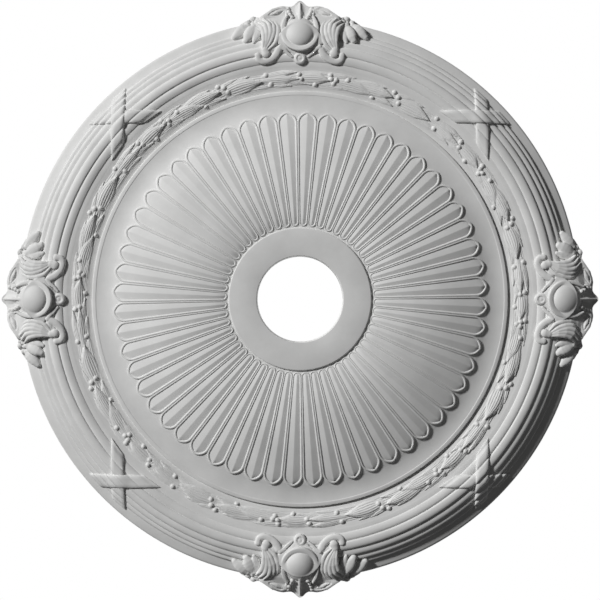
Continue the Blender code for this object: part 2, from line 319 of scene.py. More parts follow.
@dataclass(frozen=True)
class Face:
    """Radii and depths of the rose's face, in millimetres.

    Attributes:
        hole: Radius of the hole.
        ring_width: Width of the plain ring round the hole.
        petal_length: From the plain ring's edge to the petals' tips.
        band_width: Width of the plain band outside the petals.
        lip_width: Width of the lip and the groove between the band and the garland.
        garland_width: Width of the garland.
        flat_width: Width of the outermost flat.
        rim_depth: Thickness at the rim.
        rim_round: How far from the rim's corner its rounding starts.
        flat_inner_depth: Depth of the outermost flat at its inner edge.
        step_run: Radial width of the steep step between two mouldings.
        garland_foot: Depth of the garland's bed at its inner edge.
        groove_run: From the garland's inner edge to the bottom of the groove.
        groove_drop: How far the groove's bottom lies above the garland's bed.
        lip_depth: Depth of the lip.
        lip_wall: Radial width of the lip's steep side, and the height of its shoulder.
        lip_shelf: Width of the lip's level top.
        cove_depth: Depth of the plain band where its cove starts.
        cove_from_lip: From the plain band's outer edge to where its cove starts.
        band_top: Depth of the plain band at the petals' tips.
        petal_rise: How far the ridges' tips stand over the plain band.
        field_start: Depth of the petals' ridges at the plain ring.
        field_crest: Greatest depth of the ridges.
        crest_offset: From the plain ring's edge to the ridges' greatest depth.
        fall_power: How late the ridges fall off towards their tips.
        ring_depth: Depth of the plain ring.
        seat_drop: How far the ground between the petals lies under the ridges' line.
        cusp_length: From the tips to where the neighbouring petals' rounds meet.
        mouldings: The border's mouldings, from the outermost inwards.
    """

    hole: float = 50.8
    ring_width: float = 33.1
    petal_length: float = 136.6
    band_width: float = 24.9
    lip_width: float = 5.2
    garland_width: float = 23.8
    flat_width: float = 11.6
    rim_depth: float = 10.2
    rim_round: float = 3.2
    flat_inner_depth: float = 14.0
    step_run: float = 1.05
    garland_foot: float = 28.3
    groove_run: float = 4.2
    groove_drop: float = 1.7
    lip_depth: float = 31.2
    lip_wall: float = 0.7
    lip_shelf: float = 0.3
    cove_depth: float = 30.8
    cove_from_lip: float = 4.2
    band_top: float = 34.4
    petal_rise: float = 2.4
    field_start: float = 54.0
    field_crest: float = 57.0
    crest_offset: float = 34.8
    fall_power: float = 1.75
    ring_depth: float = 55.5
    seat_drop: float = 1.35
    cusp_length: float = 11.5
    mouldings: tuple[Moulding, ...] = (
        Moulding(5.4, 3.4, (40, 24, 12, 5, 2, 0)),
        Moulding(6.6, 3.2, (40, 24, 12, 5, 2, 0)),
        Moulding(8.2, 2.7, (42, 26, 14, 6, 2, 0)),
        Moulding(10.9, 1.9, (42, 27, 18, 11, 6, 1, -3, -8, -22, -66)),
        Moulding(10.4, 0.6, (36, 14, 6, 1, -4, -9, -14, -18, -22, -58)),
        Moulding(6.6, 0.0, (3, 0, -4, -12)),
    )

    @property
    def ring(self) -> float:
        """Radius of the plain ring's outer edge."""
        return self.hole + self.ring_width

    @property
    def petal_end(self) -> float:
        """Radius of the petals' tips."""
        return self.ring + self.petal_length

    @property
    def band_end(self) -> float:
        """Radius of the plain band's outer edge."""
        return self.petal_end + self.band_width

    @property
    def garland_start(self) -> float:
        """Radius of the garland's inner edge."""
        return self.band_end + self.lip_width

    @property
    def garland_end(self) -> float:
        """Radius of the garland's outer edge."""
        return self.garland_start + self.garland_width

    @property
    def flat_start(self) -> float:
        """Radius of the outer flat's inner edge."""
        return self.garland_end + sum(moulding.width for moulding in self.mouldings)

    @property
    def rim(self) -> float:
        """Radius of the round rim."""
        return self.flat_start + self.flat_width

    def field_depth(self, radius: np.ndarray) -> np.ndarray:
        """Depth of the petals' ridges.

        Args:
            radius: Radii in millimetres.

        Returns:
            The depths.
        """
        crest = self.ring + self.crest_offset
        inner = np.clip((crest - radius) / self.crest_offset, 0, 2)
        outer = np.clip((radius - crest) / (self.petal_end - crest), 0, 2)
        rise = self.field_crest - self.field_start
        fall = self.field_crest - self.band_top - self.petal_rise
        return self.field_crest - rise * inner**2 - fall * outer**self.fall_power

    def border(self, facets: int = 12) -> list[Pair]:
        """The section of the mouldings.

        Args:
            facets: Facets across each moulding.

        Returns:
            Radius and depth of each point, from the outermost flat inwards.
        """
        radius, depth = self.flat_start, self.flat_inner_depth
        points = [(radius, depth)]
        for moulding in self.mouldings:
            run = moulding.width
            if moulding.step:
                radius, depth, run = radius - self.step_run, depth + moulding.step, run - self.step_run
                points.append((radius, depth))
            nodes = np.linspace(0, 1, len(moulding.slopes))
            for step in range(facets):
                slope = float(np.interp((step + 0.5) / facets, nodes, moulding.slopes))
                radius -= run / facets
                depth += math.tan(math.radians(slope)) * run / facets
                points.append((radius, depth))
        return points

    def band(self, facets: int = 10) -> list[Pair]:
        """The section of the coved plain band.

        Args:
            facets: Facets across it.

        Returns:
            Radius and depth of each point, from the cove's outer end inwards.
        """
        start = self.band_end - self.cove_from_lip
        points = []
        for step in range(facets + 1):
            share = step / facets
            radius = start + (self.petal_end - start) * share
            points.append((radius, self.cove_depth + (self.band_top - self.cove_depth) * share**2))
        return points

    def seat(self, facets: int = 26) -> list[Pair]:
        """The section of the ground between the petals.

        Args:
            facets: Facets across it.

        Returns:
            Radius and depth of each point, from the cusps inwards.
        """
        first = self.petal_end - self.cusp_length
        radii = np.linspace(first, self.ring, facets + 1)
        depths = self.field_depth(radii) - self.seat_drop
        return list(zip(radii.tolist(), depths.tolist()))

    def line(self) -> list[Pair]:
        """The section of the whole face.

        Returns:
            Radius and depth of each point, from the rim to the hole.
        """
        rim = eased(
            [(self.rim, 0.0), (self.rim, self.rim_depth), (self.flat_start, self.flat_inner_depth)],
            [0.0, self.rim_round, 0.0],
            5,
        )
        cove_end = self.band_end - self.cove_from_lip
        groove = self.garland_start - self.groove_run
        lip = eased(
            [
                (self.garland_start, self.garland_foot),
                (groove, self.garland_foot - self.groove_drop),
                (groove - self.lip_wall, self.lip_depth - self.lip_wall),
                (cove_end + self.lip_shelf, self.lip_depth),
                (cove_end, self.cove_depth),
            ],
            [0.0, 0.3, 0.3, 0.5, 0.0],
        )
        ring = eased(
            [
                (self.ring, float(self.field_depth(np.array(self.ring))) - self.seat_drop),
                (self.ring, self.ring_depth),
                (self.hole, self.ring_depth),
                (self.hole, 0.0),
            ],
            [0.0, 1.6, 0.7, 0.0],
        )
        return rim[:-1] + self.border() + lip + self.band()[1:] + self.seat() + ring[1:]

    @property
    def fillet_depth(self) -> float:
        """Depth of the border beside the garland."""
        return self.border()[-1][1]

    def depth(self, radius: np.ndarray) -> np.ndarray:
        """Depth of the face.

        Args:
            radius: Radii in millimetres.

        Returns:
            The depths, 0 outside the rim.
        """
        points = sorted((r, d) for r, d in self.line() if d > 0)
        return np.where(radius > self.rim, 0.0, read_off(points, radius))

    def draped(self, radius: np.ndarray, softness: float) -> np.ndarray:
        """Depth of a thin thing laid over the mouldings.

        Args:
            radius: Radii in millimetres.
            softness: Radial distance over which the face is averaged.

        Returns:
            The depths: the face's own, filled a little in its grooves.
        """
        offsets = np.linspace(-softness, softness, 7)
        near = [np.clip(radius + offset, self.hole, self.rim - 0.1) for offset in offsets]
        stack = np.stack([self.depth(radii) for radii in near])
        return 0.7 * stack.mean(0) + 0.3 * stack.max(0)


FACE = Face()


# Finishes


def linear(code: str) -> tuple[float, float, float, float]:
    """Turns a colour from sRGB to linear.

    Args:
        code: The sRGB colour as a hex code.

    Returns:
        Linear red, green and blue, and full opacity.
    """
    values = [int(code[index : index + 2], 16) / 255 for index in (1, 3, 5)]
    shares = [v / 12.92 if v <= 0.04045 else ((v + 0.055) / 1.055) ** 2.4 for v in values]
    return (shares[0], shares[1], shares[2], 1.0)


def add_node(tree: bpy.types.NodeTree, kind: str, settings: dict, links: dict) -> bpy.types.Node:
    """Adds a node.

    Args:
        tree: The node tree.
        kind: The node's type.
        settings: Values of its properties, and of its sockets where the key is a socket's name or number.
        links: Output sockets, each with the name or number of the input that it feeds.

    Returns:
        The node.
    """
    node = tree.nodes.new(kind)
    for key, value in settings.items():
        if isinstance(key, str) and hasattr(node, key):
            setattr(node, key, value)
        else:
            node.inputs[key].default_value = value
    for key, source in links.items():
        tree.links.new(source, node.inputs[key])
    return node


def add_noise(
    tree: bpy.types.NodeTree, size: float, detail: float, roughness: float = 0.5
) -> bpy.types.NodeSocket:
    """Adds a noise pattern on the piece's own coordinates.

    Args:
        tree: The node tree.
        size: Size of its patches, in millimetres.
        detail: How many finer layers it has.
        roughness: How strong they are.

    Returns:
        The pattern's output.
    """
    place = add_node(tree, "ShaderNodeTexCoord", {}, {}).outputs["Object"]
    settings = {"Scale": 1 / (size * MM), "Detail": detail, "Roughness": roughness}
    return add_node(tree, "ShaderNodeTexNoise", settings, {"Vector": place}).outputs["Fac"]


def add_bump(
    tree: bpy.types.NodeTree, pattern: bpy.types.NodeSocket, height: float, under: dict
) -> bpy.types.NodeSocket:
    """Adds relief.

    Args:
        tree: The node tree.
        pattern: The relief's pattern.
        height: Its height, in millimetres.
        under: The normal that it goes on, if there is one.

    Returns:
        The normal with the relief.
    """
    settings = {"Strength": 1.0, "Distance": height * MM}
    return add_node(tree, "ShaderNodeBump", settings, {"Height": pattern, **under}).outputs["Normal"]


def add_tones(
    tree: bpy.types.NodeTree, pattern: bpy.types.NodeSocket, codes: tuple[str, str], places: Pair
) -> None:
    """Colours the shader between two tones.

    Args:
        tree: The node tree.
        pattern: What decides between them.
        codes: Their sRGB colours as hex codes.
        places: The pattern's values at which each is reached.
    """
    ramp = add_node(tree, "ShaderNodeValToRGB", {}, {"Fac": pattern})
    for element, code, place in zip(ramp.color_ramp.elements, codes, places):
        element.position = place
        element.color = linear(code)
    tree.links.new(ramp.outputs["Color"], tree.nodes["Principled BSDF"].inputs["Base Color"])


@dataclass(frozen=True)
class PrimedUrethane:
    """Rigid urethane foam, cast in a silicone mould and sprayed with a matt primer.

    The eye sees a chalky near-white skin with a very fine spray grain, a slow unevenness of the skin and a
    few pinholes that the primer has half filled.
    """

    name: str = "primed_urethane"
    light: str = "#E7E7E6"
    dark: str = "#DEDEDD"
    roughness: float = 0.62
    roughness_spread: float = 0.06
    specular: float = 0.35
    grain: float = 0.7
    grain_height: float = 0.02
    wave: float = 14.0
    wave_height: float = 0.05
    mottle: float = 38.0
    mottle_tones: Pair = (0.35, 0.65)
    pinhole_spacing: float = 11.0
    pinhole_radius: float = 0.35
    pinhole_depth: float = 0.12

    def made(self) -> bpy.types.Material:
        """Makes the material, with its patterns on the piece's own coordinates.

        Returns:
            The material.
        """
        material = bpy.data.materials.new(self.name)
        material.use_nodes = True
        tree = material.node_tree
        shader = tree.nodes["Principled BSDF"]
        add_tones(tree, add_noise(tree, self.mottle, 4.0, 0.6), (self.dark, self.light), self.mottle_tones)
        soft = add_bump(tree, add_noise(tree, self.wave, 2.0), self.wave_height, {})
        grain = add_noise(tree, self.grain, 3.0, 0.7)
        fine = add_bump(tree, grain, self.grain_height, {"Normal": soft})
        place = add_node(tree, "ShaderNodeTexCoord", {}, {}).outputs["Object"]
        spacing = {"Scale": 1 / (self.pinhole_spacing * MM)}
        cells = add_node(tree, "ShaderNodeTexVoronoi", spacing, {"Vector": place})
        share = {"From Min": 0.0, "From Max": self.pinhole_radius / self.pinhole_spacing}
        pits = add_node(tree, "ShaderNodeMapRange", share, {"Value": cells.outputs["Distance"]})
        pitted = add_bump(tree, pits.outputs["Result"], self.pinhole_depth, {"Normal": fine})
        tree.links.new(pitted, shader.inputs["Normal"])
        low, high = self.roughness - self.roughness_spread, self.roughness + self.roughness_spread
        sheen = add_node(tree, "ShaderNodeMapRange", {"To Min": low, "To Max": high}, {"Value": grain})
        tree.links.new(sheen.outputs["Result"], shader.inputs["Roughness"])
        shader.inputs["Specular IOR Level"].default_value = self.specular
        shader.inputs["Metallic"].default_value = 0.0
        return material


@dataclass(frozen=True)
class StudioPaint:
    """Matt paint on the studio's floor, with a very soft unevenness from its roller."""

    name: str = "studio_floor_paint"
    light: str = "#F1F0EE"
    dark: str = "#EAE9E6"
    roughness: float = 0.85
    patch: float = 900.0

    def made(self) -> bpy.types.Material:
        """Makes the material.

        Returns:
            The material.
        """
        material = bpy.data.materials.new(self.name)
        material.use_nodes = True
        tree = material.node_tree
        shader = tree.nodes["Principled BSDF"]
        add_tones(tree, add_noise(tree, self.patch, 2.0), (self.dark, self.light), (0.0, 1.0))
        shader.inputs["Roughness"].default_value = self.roughness
        return material


def dressed(piece: bpy.types.Object, material: bpy.types.Material) -> None:
    """Gives the piece its material and enters it in the frame.

    Args:
        piece: The piece, which stands for the solid together with the others.
        material: Its finish.
    """
    piece.data.materials.clear()
    piece.data.materials.append(material)
    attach(piece, "root")
    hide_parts("ceiling_rose")
    log.info("%s: %d faces", piece.name, len(piece.data.polygons))


# The studio


@dataclass(frozen=True)
class Studio:
    """Floor, light and camera. Lengths are in millimetres; the camera looks straight up at the face.

    Attributes:
        camera_depth: How far the camera stands below the ceiling.
        frame_width: What the picture takes in at the ceiling.
        sensor: Width of the camera's sensor.
        centre_offset: How far the camera stands off the rose's axis, towards the picture's top.
        floor_depth: How far the floor lies below the ceiling.
        floor_radius: Radius of the floor.
        key_azimuth: Direction in which the key light stands, in degrees from +X.
        key_elevation: Its height in degrees, negative since it shines from below.
        key_strength: Its strength.
        key_softness: The angle that it takes up, in degrees.
        fill: Strength of the room's light from below the ceiling.
        overhead: Strength of the room's light on the back.
    """

    camera_depth: float = 2400.0
    frame_width: float = 718.8
    sensor: float = 36.0
    centre_offset: float = 0.96
    floor_depth: float = 2500.0
    floor_radius: float = 16000.0
    key_azimuth: float = -147.0
    key_elevation: float = -33.5
    key_strength: float = 3.0
    key_softness: float = 7.0
    fill: float = 0.05
    overhead: float = 0.9

    def camera(self) -> None:
        """Sets the camera square to the face, under the ceiling."""
        data = bpy.data.cameras.new("camera")
        data.sensor_width = self.sensor
        data.lens = self.sensor * self.camera_depth / self.frame_width
        data.clip_end = 100.0
        made = bpy.data.objects.new("camera", data)
        made.location = (0.0, self.centre_offset * MM, -self.camera_depth * MM)
        made.rotation_euler = (math.pi, 0.0, 0.0)
        bpy.context.collection.objects.link(made)
        bpy.context.scene.camera = made

    def key(self) -> None:
        """Sets the key light, a distant one from below and to one side."""
        data = bpy.data.lights.new("key", "SUN")
        data.energy = self.key_strength
        data.angle = math.radians(self.key_softness)
        made = bpy.data.objects.new("key", data)
        azimuth, elevation = math.radians(self.key_azimuth), math.radians(self.key_elevation)
        towards = Vector(
            (
                math.cos(elevation) * math.cos(azimuth),
                math.cos(elevation) * math.sin(azimuth),
                math.sin(elevation),
            )
        )
        made.rotation_euler = towards.to_track_quat("Z", "Y").to_euler()
        bpy.context.collection.objects.link(made)

    def room(self) -> None:
        """Sets the room's light, dim from below and bright from above, with a white backdrop."""
        world = bpy.data.worlds.new("studio")
        bpy.context.scene.world = world
        world.use_nodes = True
        tree = world.node_tree
        tree.nodes.clear()
        place = add_node(tree, "ShaderNodeTexCoord", {}, {}).outputs["Generated"]
        parts = add_node(tree, "ShaderNodeSeparateXYZ", {}, {"Vector": place})
        height = add_node(
            tree,
            "ShaderNodeMapRange",
            {"From Min": 0.2, "From Max": 0.7, "To Min": self.fill, "To Max": self.overhead},
            {"Value": parts.outputs["Z"]},
        )
        light = add_node(
            tree,
            "ShaderNodeBackground",
            {"Color": linear("#FFFFFF")},
            {"Strength": height.outputs["Result"]},
        )
        white = add_node(tree, "ShaderNodeBackground", {"Color": linear("#FFFFFF"), "Strength": 1.0}, {})
        path = add_node(tree, "ShaderNodeLightPath", {}, {})
        mix = add_node(
            tree,
            "ShaderNodeMixShader",
            {},
            {
                0: path.outputs["Is Camera Ray"],
                1: light.outputs["Background"],
                2: white.outputs["Background"],
            },
        )
        add_node(tree, "ShaderNodeOutputWorld", {}, {"Surface": mix.outputs["Shader"]})

    def floor(self) -> None:
        """Lays a plain pale floor under the camera, a backdrop that casts no light on the face."""
        bpy.ops.mesh.primitive_circle_add(vertices=96, radius=self.floor_radius * MM, fill_type="NGON")
        floor = bpy.context.object
        floor.name = floor.data.name = "studio_floor"
        floor.data.transform(Matrix.Translation((0.0, 0.0, -self.floor_depth * MM)))
        floor.data.materials.append(StudioPaint().made())
        floor.visible_shadow = False
        floor.visible_diffuse = False
        floor.visible_glossy = False

    def set_up(self) -> None:
        """Sets up all of the studio."""
        self.floor()
        self.room()
        self.key()
        self.camera()
        bpy.context.scene.view_settings.view_transform = "Standard"
        bpy.context.scene.view_settings.look = "None"


# The turned body


@dataclass(frozen=True)
class Body:
    """The turned body: back, rim, border, bed of the garland, plain band, ground of the petals and ring.

    Attributes:
        steps: Facets round the axis.
        crisp: Edges sharper than this many degrees stay sharp.
    """

    steps: int = 240
    crisp: float = 38.0

    def build(self) -> bpy.types.Object:
        """Spins the section round the axis.

        Returns:
            The piece.
        """
        outline = FACE.line()
        bpy.ops.mesh.primitive_circle_add(vertices=len(outline), fill_type="NOTHING")
        body = bpy.context.object
        body.name = body.data.name = "turned_body"
        put(body, np.array([(radius * MM, 0.0, -depth * MM) for radius, depth in outline]))
        with editing(body):
            bpy.ops.mesh.spin(steps=self.steps, angle=2 * math.pi, center=(0, 0, 0), axis=(0, 0, 1))
        welded(body)
        smoothed(body, self.crisp)
        return body


# Petals


@dataclass(frozen=True)
class Petals:
    """The ring of ridged petals, each with a thin bead round it. Lengths are in millimetres.

    Attributes:
        count: How many petals stand round the ring.
        phase: Angle of the first petal, in degrees.
        gap: Half the gap between two petals.
        tip_stretch: How much longer the rounded tip is than a half circle.
        tip_point: How far the tip is drawn out in its middle.
        tip_sharpness: How narrow the part is that is drawn out.
        start_gap: From the plain ring's edge to the petal.
        bead_outer: Width of the bead at the tip.
        bead_inner: Width of the bead at the inner end.
        bead_share: The most of the petal's half width that the bead takes up.
        bead_drop: How far the bead's top lies under the ridge's line.
        dip_drop: How far the groove inside the bead lies under the ridge's line.
        dip_growth: How much deeper that groove is at the tip.
        dip_inset: Where the groove lies, as a share of the bead's width.
        edge_drop: How far the bead's outer edge lies under the ridge's line.
        ridge_sharpness: 1 for flat flanks of the ridge, more for rounded ones.
        ridge_softness: How much rounder the flanks are at the inner end.
        ridge_end: Height of the ridge where it meets the bead at the tip, as a share.
        hip_power: 1 for a straight hip at the inner end, less for a rounded one.
        skirt_drop: How far the hidden foot lies under the ridge's line.
        tip_facets: Facets round the tip.
        side_facets: Facets along each side.
        end_facets: Facets round the inner end.
        field_rows: Rows of the field, from the groove inside the bead, 0, to the ridge, 1.
        crisp: Edges sharper than this many degrees stay sharp.
    """

    count: int = 56
    phase: float = 2.3
    gap: float = 0.2
    tip_stretch: float = 1.08
    tip_point: float = 0.9
    tip_sharpness: int = 14
    start_gap: float = 1.3
    bead_outer: float = 2.45
    bead_inner: float = 1.55
    bead_share: float = 0.42
    bead_drop: float = 0.25
    dip_drop: float = 0.92
    dip_growth: float = 0.55
    dip_inset: float = 1.08
    edge_drop: float = 0.85
    ridge_sharpness: float = 1.04
    ridge_softness: float = 0.1
    ridge_end: float = 0.6
    hip_power: float = 0.6
    skirt_drop: float = 3.0
    tip_facets: int = 18
    side_facets: int = 13
    end_facets: int = 8
    field_rows: tuple[float, ...] = (0.0, 0.16, 0.42, 0.70, 0.93, 1.0)
    crisp: float = 42.0

    @property
    def bead_rows(self) -> tuple[Pair, ...]:
        """Rows from the foot over the bead: place across the bead, and drop under the ridge's line."""
        return (
            (0.0, self.skirt_drop),
            (0.0, self.edge_drop),
            (0.10, self.edge_drop * 0.5),
            (0.30, self.bead_drop * 1.25),
            (0.58, self.bead_drop),
            (0.86, self.bead_drop * 2.6),
        )

    @property
    def facets(self) -> int:
        """Facets all the way round a petal."""
        return self.tip_facets + 2 * self.side_facets + self.end_facets

    def outline(self, share: np.ndarray) -> tuple[np.ndarray, np.ndarray]:
        """Follows the outline of one petal.

        Args:
            share: Share of the way round, from the middle of the tip.

        Returns:
            Distance of the spine's point from the axis, and the direction's angle.
        """
        half = math.pi / self.count
        sine = math.sin(half)
        tip = (FACE.petal_end + self.gap * self.tip_stretch) / (1 + self.tip_stretch * sine)
        end = (FACE.ring + self.start_gap + self.gap) / (1 - sine)
        turn = math.pi / 2 + half
        side = self.tip_facets / 2
        stations = [
            (0, tip, 0.0),
            (side, tip, turn),
            (side + self.side_facets, end, turn),
            (side + self.side_facets + self.end_facets, end, 2 * math.pi - turn),
            (self.facets - side, tip, 2 * math.pi - turn),
            (self.facets, tip, 2 * math.pi),
        ]
        at = np.array([station[0] for station in stations]) / self.facets
        spines, angles = [station[1] for station in stations], [station[2] for station in stations]
        return np.interp(share, at, spines), np.interp(share, at, angles)

    def shell(self, u: np.ndarray, v: np.ndarray) -> np.ndarray:
        """Puts the points of one petal in place, from its foot over the bead to its ridge.

        Args:
            u: Share of the way round the petal.
            v: Share of the way from the foot to the ridge.

        Returns:
            The points in metres.
        """
        bead_rows, field_rows = self.bead_rows, self.field_rows
        last = len(bead_rows) + len(field_rows) - 1
        spine, angle = self.outline(u)
        along = np.clip((spine - FACE.ring) / FACE.petal_length, 0, 1)
        radius = spine * math.sin(math.pi / self.count) - self.gap
        bead = self.bead_inner + (self.bead_outer - self.bead_inner) * along
        bead = np.minimum(bead, radius * self.bead_share)
        row = np.rint(v * last).astype(int)
        on_field = row >= len(bead_rows)
        cosine, sine = np.cos(angle), np.sin(angle)
        inner = radius - bead * self.dip_inset
        climb = np.array([0.0] * len(bead_rows) + list(field_rows))[row]
        across_bead = np.array([place for place, _ in bead_rows] + [0.0] * len(field_rows))[row]
        reach = np.where(on_field, inner - inner * climb, radius - bead * across_bead)
        stretch = np.where(cosine > 0, self.tip_stretch, 1.0)
        x = spine + reach * cosine * stretch + self.tip_point * np.clip(cosine, 0, 1) ** self.tip_sharpness
        y = reach * sine
        # The ridge: straight flanks that fall to the groove, and a hip at the inner end.
        over = np.clip(np.abs(reach * cosine) * (cosine > 0), 0, inner * 0.999)
        chord = np.sqrt(np.maximum(inner**2 - over**2, 1e-6))
        sharp = self.ridge_sharpness + self.ridge_softness * (1 - along)
        rise = 1 - np.clip(np.abs(y) / chord, 0, 1) ** sharp
        in_groove = row == len(bead_rows)
        rise = np.where(in_groove, self.ridge_end * ((np.abs(sine) < 0.02) & (cosine > 0)), rise)
        hip = np.clip(1 - reach / np.maximum(inner, 1e-6), 0, 1) ** self.hip_power
        dip = self.dip_drop + self.dip_growth * along
        field_drop = dip * (1 - rise * np.where(cosine < -0.2, hip, 1.0))
        bead_drop = np.array([drop for _, drop in bead_rows] + [0.0] * len(field_rows))[row]
        level = FACE.field_depth(np.hypot(x, y)) - np.where(on_field, field_drop, bead_drop)
        return np.stack([x, y, -level], 1) * MM

    def build(self) -> bpy.types.Object:
        """Makes one petal, closed underneath, and then the ring of all.

        Returns:
            The ring.
        """
        rows = len(self.bead_rows) + len(self.field_rows)
        petal = shaped_grid("petals", self.facets, rows - 1, self.shell)
        welded(petal)
        capped(petal)
        petal.data.transform(Matrix.Rotation(math.radians(self.phase), 4, "Z"))
        turn = bpy.data.objects.new("turn", None)
        bpy.context.collection.objects.link(turn)
        turn.rotation_euler = (0, 0, 2 * math.pi / self.count)
        ring = petal.modifiers.new("ring", "ARRAY")
        ring.use_relative_offset = False
        ring.use_object_offset = True
        ring.offset_object = turn
        ring.count = self.count
        picked(petal)
        bpy.ops.object.modifier_apply(modifier=ring.name)
        bpy.data.objects.remove(turn)
        smoothed(petal, self.crisp)
        return petal


# Carved relief


@dataclass
class Relief:
    """A carved surface over a patch. Strokes and domes are laid on it, and the highest wins.

    Attributes:
        x: First coordinate of each point, in millimetres.
        y: Second coordinate of each point, in millimetres.
        height: How high the carving stands at each point, in millimetres.
        blend: How softly one thing runs into another, in millimetres.
    """

    x: np.ndarray
    y: np.ndarray
    height: np.ndarray
    blend: float = 0.4

    def raise_to(self, index: np.ndarray, height: np.ndarray) -> None:
        """Lifts points to a height where it is the higher, with the meeting line softened.

        Args:
            index: Indices of the points.
            height: The height for each of them.
        """
        here = self.height[index]
        soft = np.clip(self.blend - np.abs(here - height), 0, None) ** 2 / (4 * self.blend)
        self.height[index] = np.maximum(here, height) + soft

    def near(self, points: np.ndarray, reach: float) -> np.ndarray:
        """Finds the patch's points near a line.

        Args:
            points: The line's points.
            reach: How far outside the line's box a point may lie.

        Returns:
            The points' indices.
        """
        low, high = points.min(0) - reach, points.max(0) + reach
        inside = (self.x > low[0]) & (self.x < high[0]) & (self.y > low[1]) & (self.y < high[1])
        return np.nonzero(inside)[0]

    def stroke(
        self,
        spine: Sequence[Pair],
        widths: Sequence[float],
        levels: Sequence[float],
        section: Section = Section.ROUND,
        drop: float = 0.0,
        veins: int = 0,
        vein_depth: float = 0.0,
    ) -> None:
        """Lays a stroke along a smooth line.

        Args:
            spine: The line's points.
            widths: Half widths along it, evenly spaced.
            levels: Heights of its middle along it, evenly spaced.
            section: Its cross-section.
            drop: How far its edge lies under its middle; its half width where this is 0.
            veins: Grooves along it.
            vein_depth: Their depth.
        """
        line = smooth_line(spine)
        index = self.near(line, max(widths))
        if not len(index):
            return
        place = np.stack([self.x[index], self.y[index]], 1)
        share, distance, side = along_line(line, place)
        half = np.interp(share, np.linspace(0, 1, len(widths)), widths)
        level = np.interp(share, np.linspace(0, 1, len(levels)), levels)
        across = distance / np.maximum(half, 1e-3)
        shape = profile(section, np.clip(across, 0, 1))
        fall = drop if drop else half
        height = level - fall * (1 - shape)
        if veins:
            wave = 0.5 - 0.5 * np.cos(2 * math.pi * veins * (across * side * 0.5 + 0.5))
            fade = np.clip(np.minimum(share, 1 - share) * 8, 0, 1)
            height = height - vein_depth * (1 - wave) ** 3 * fade * (across < 0.85)
        inside = across < 1
        self.raise_to(index[inside], height[inside])

    def dome(self, centre: Pair, radius: float, level: float, rise: float, power: float = 0.5) -> None:
        """Lays a dome on the patch.

        Args:
            centre: Its middle.
            radius: Its radius.
            level: Height of its top.
            rise: How far its foot lies under its top.
            power: 0.5 for a round dome, more for a softer foot.
        """
        distance = np.hypot(self.x - centre[0], self.y - centre[1]) / radius
        inside = np.nonzero(distance < 1)[0]
        self.raise_to(inside, level - rise * (1 - (1 - distance[inside] ** 2) ** power))

    def groove(self, spine: Sequence[Pair], width: float, depth: float) -> None:
        """Cuts a soft groove along a smooth line.

        Args:
            spine: The line's points.
            width: Half its width.
            depth: Its depth in the middle.
        """
        line = smooth_line(spine)
        index = self.near(line, width)
        if not len(index):
            return
        place = np.stack([self.x[index], self.y[index]], 1)
        share, distance, _ = along_line(line, place)
        cut = np.clip(1 - distance / width, 0, 1) * np.clip(np.minimum(share, 1 - share) * 10 + 0.15, 0, 1)
        self.height[index] -= depth * np.sin(cut * math.pi / 2)


def smooth_line(points: Sequence[Pair], facets: int = 7) -> np.ndarray:
    """Draws a smooth line through points.

    Args:
        points: The points that it passes through.
        facets: Facets between two of them.

    Returns:
        The line's points, one row each.
    """
    rows = np.asarray(points, float)
    if len(rows) == 2:
        return rows[0] + (rows[1] - rows[0]) * np.linspace(0, 1, facets)[:, None]
    padded = np.vstack([2 * rows[0] - rows[1], rows, 2 * rows[-1] - rows[-2]])
    made = []
    for index in range(1, len(padded) - 2):
        a, b, c, d = padded[index - 1 : index + 3]
        square, cube = 2 * a - 5 * b + 4 * c - d, 3 * b - a - 3 * c + d
        for share in np.linspace(0, 1, facets, endpoint=False):
            made.append(0.5 * (2 * b + (c - a) * share + square * share**2 + cube * share**3))
    made.append(rows[-1])
    return np.array(made)


def along_line(line: np.ndarray, place: np.ndarray) -> tuple[np.ndarray, np.ndarray, np.ndarray]:
    """Measures places against a line.

    Args:
        line: The line's points.
        place: The places, one row each.

    Returns:
        For each place the share along the line, the distance from it and the side of it, 1 or -1.
    """
    starts, steps = line[:-1], np.diff(line, axis=0)
    lengths = np.hypot(steps[:, 0], steps[:, 1])
    offsets = place[:, None, :] - starts[None]
    share = np.clip((offsets * steps).sum(2) / lengths**2, 0, 1)
    gap = offsets - share[:, :, None] * steps
    distance = np.hypot(gap[:, :, 0], gap[:, :, 1])
    best = distance.argmin(1)
    row = np.arange(len(place))
    cross = steps[best, 0] * offsets[row, best, 1] - steps[best, 1] * offsets[row, best, 0]
    travelled = np.concatenate([[0], np.cumsum(lengths)])
    at = (travelled[best] + share[row, best] * lengths[best]) / travelled[-1]
    return at, distance[row, best], np.where(cross < 0, -1.0, 1.0)


def profile(section: Section, across: np.ndarray) -> np.ndarray:
    """Measures a cross-section.

    Args:
        section: Which cross-section.
        across: Places across it, 0 in the middle and 1 at the edge.

    Returns:
        The heights, 1 in the middle and 0 at the edge.
    """
    if section is Section.ROUND:
        return np.sqrt(1 - across**2)
    if section is Section.RIDGE:
        return 1 - across
    if section is Section.PILLOW:
        return (1 - across**4) ** 0.6
    return (1 - across**2.6) ** 0.7


# Garland


@dataclass(frozen=True)
class LaurelLeaf:
    """A leaf of the garland. Places are degrees along its module and millimetres out from the lip.

    Attributes:
        base: Where it springs.
        tip: Where it ends.
        half_width: Its greatest half width.
        bend: How far its middle swings aside.
        base_level: Height of its base over the garland's bed.
        tip_level: Height of its outer part.
        veins: Grooves along it.
        blunt: Half width near the tip, as a share of the greatest one.
    """

    base: Pair
    tip: Pair
    half_width: float
    bend: float = 0.0
    base_level: float = 0.4
    tip_level: float = 2.2
    veins: int = 6
    blunt: float = 0.45


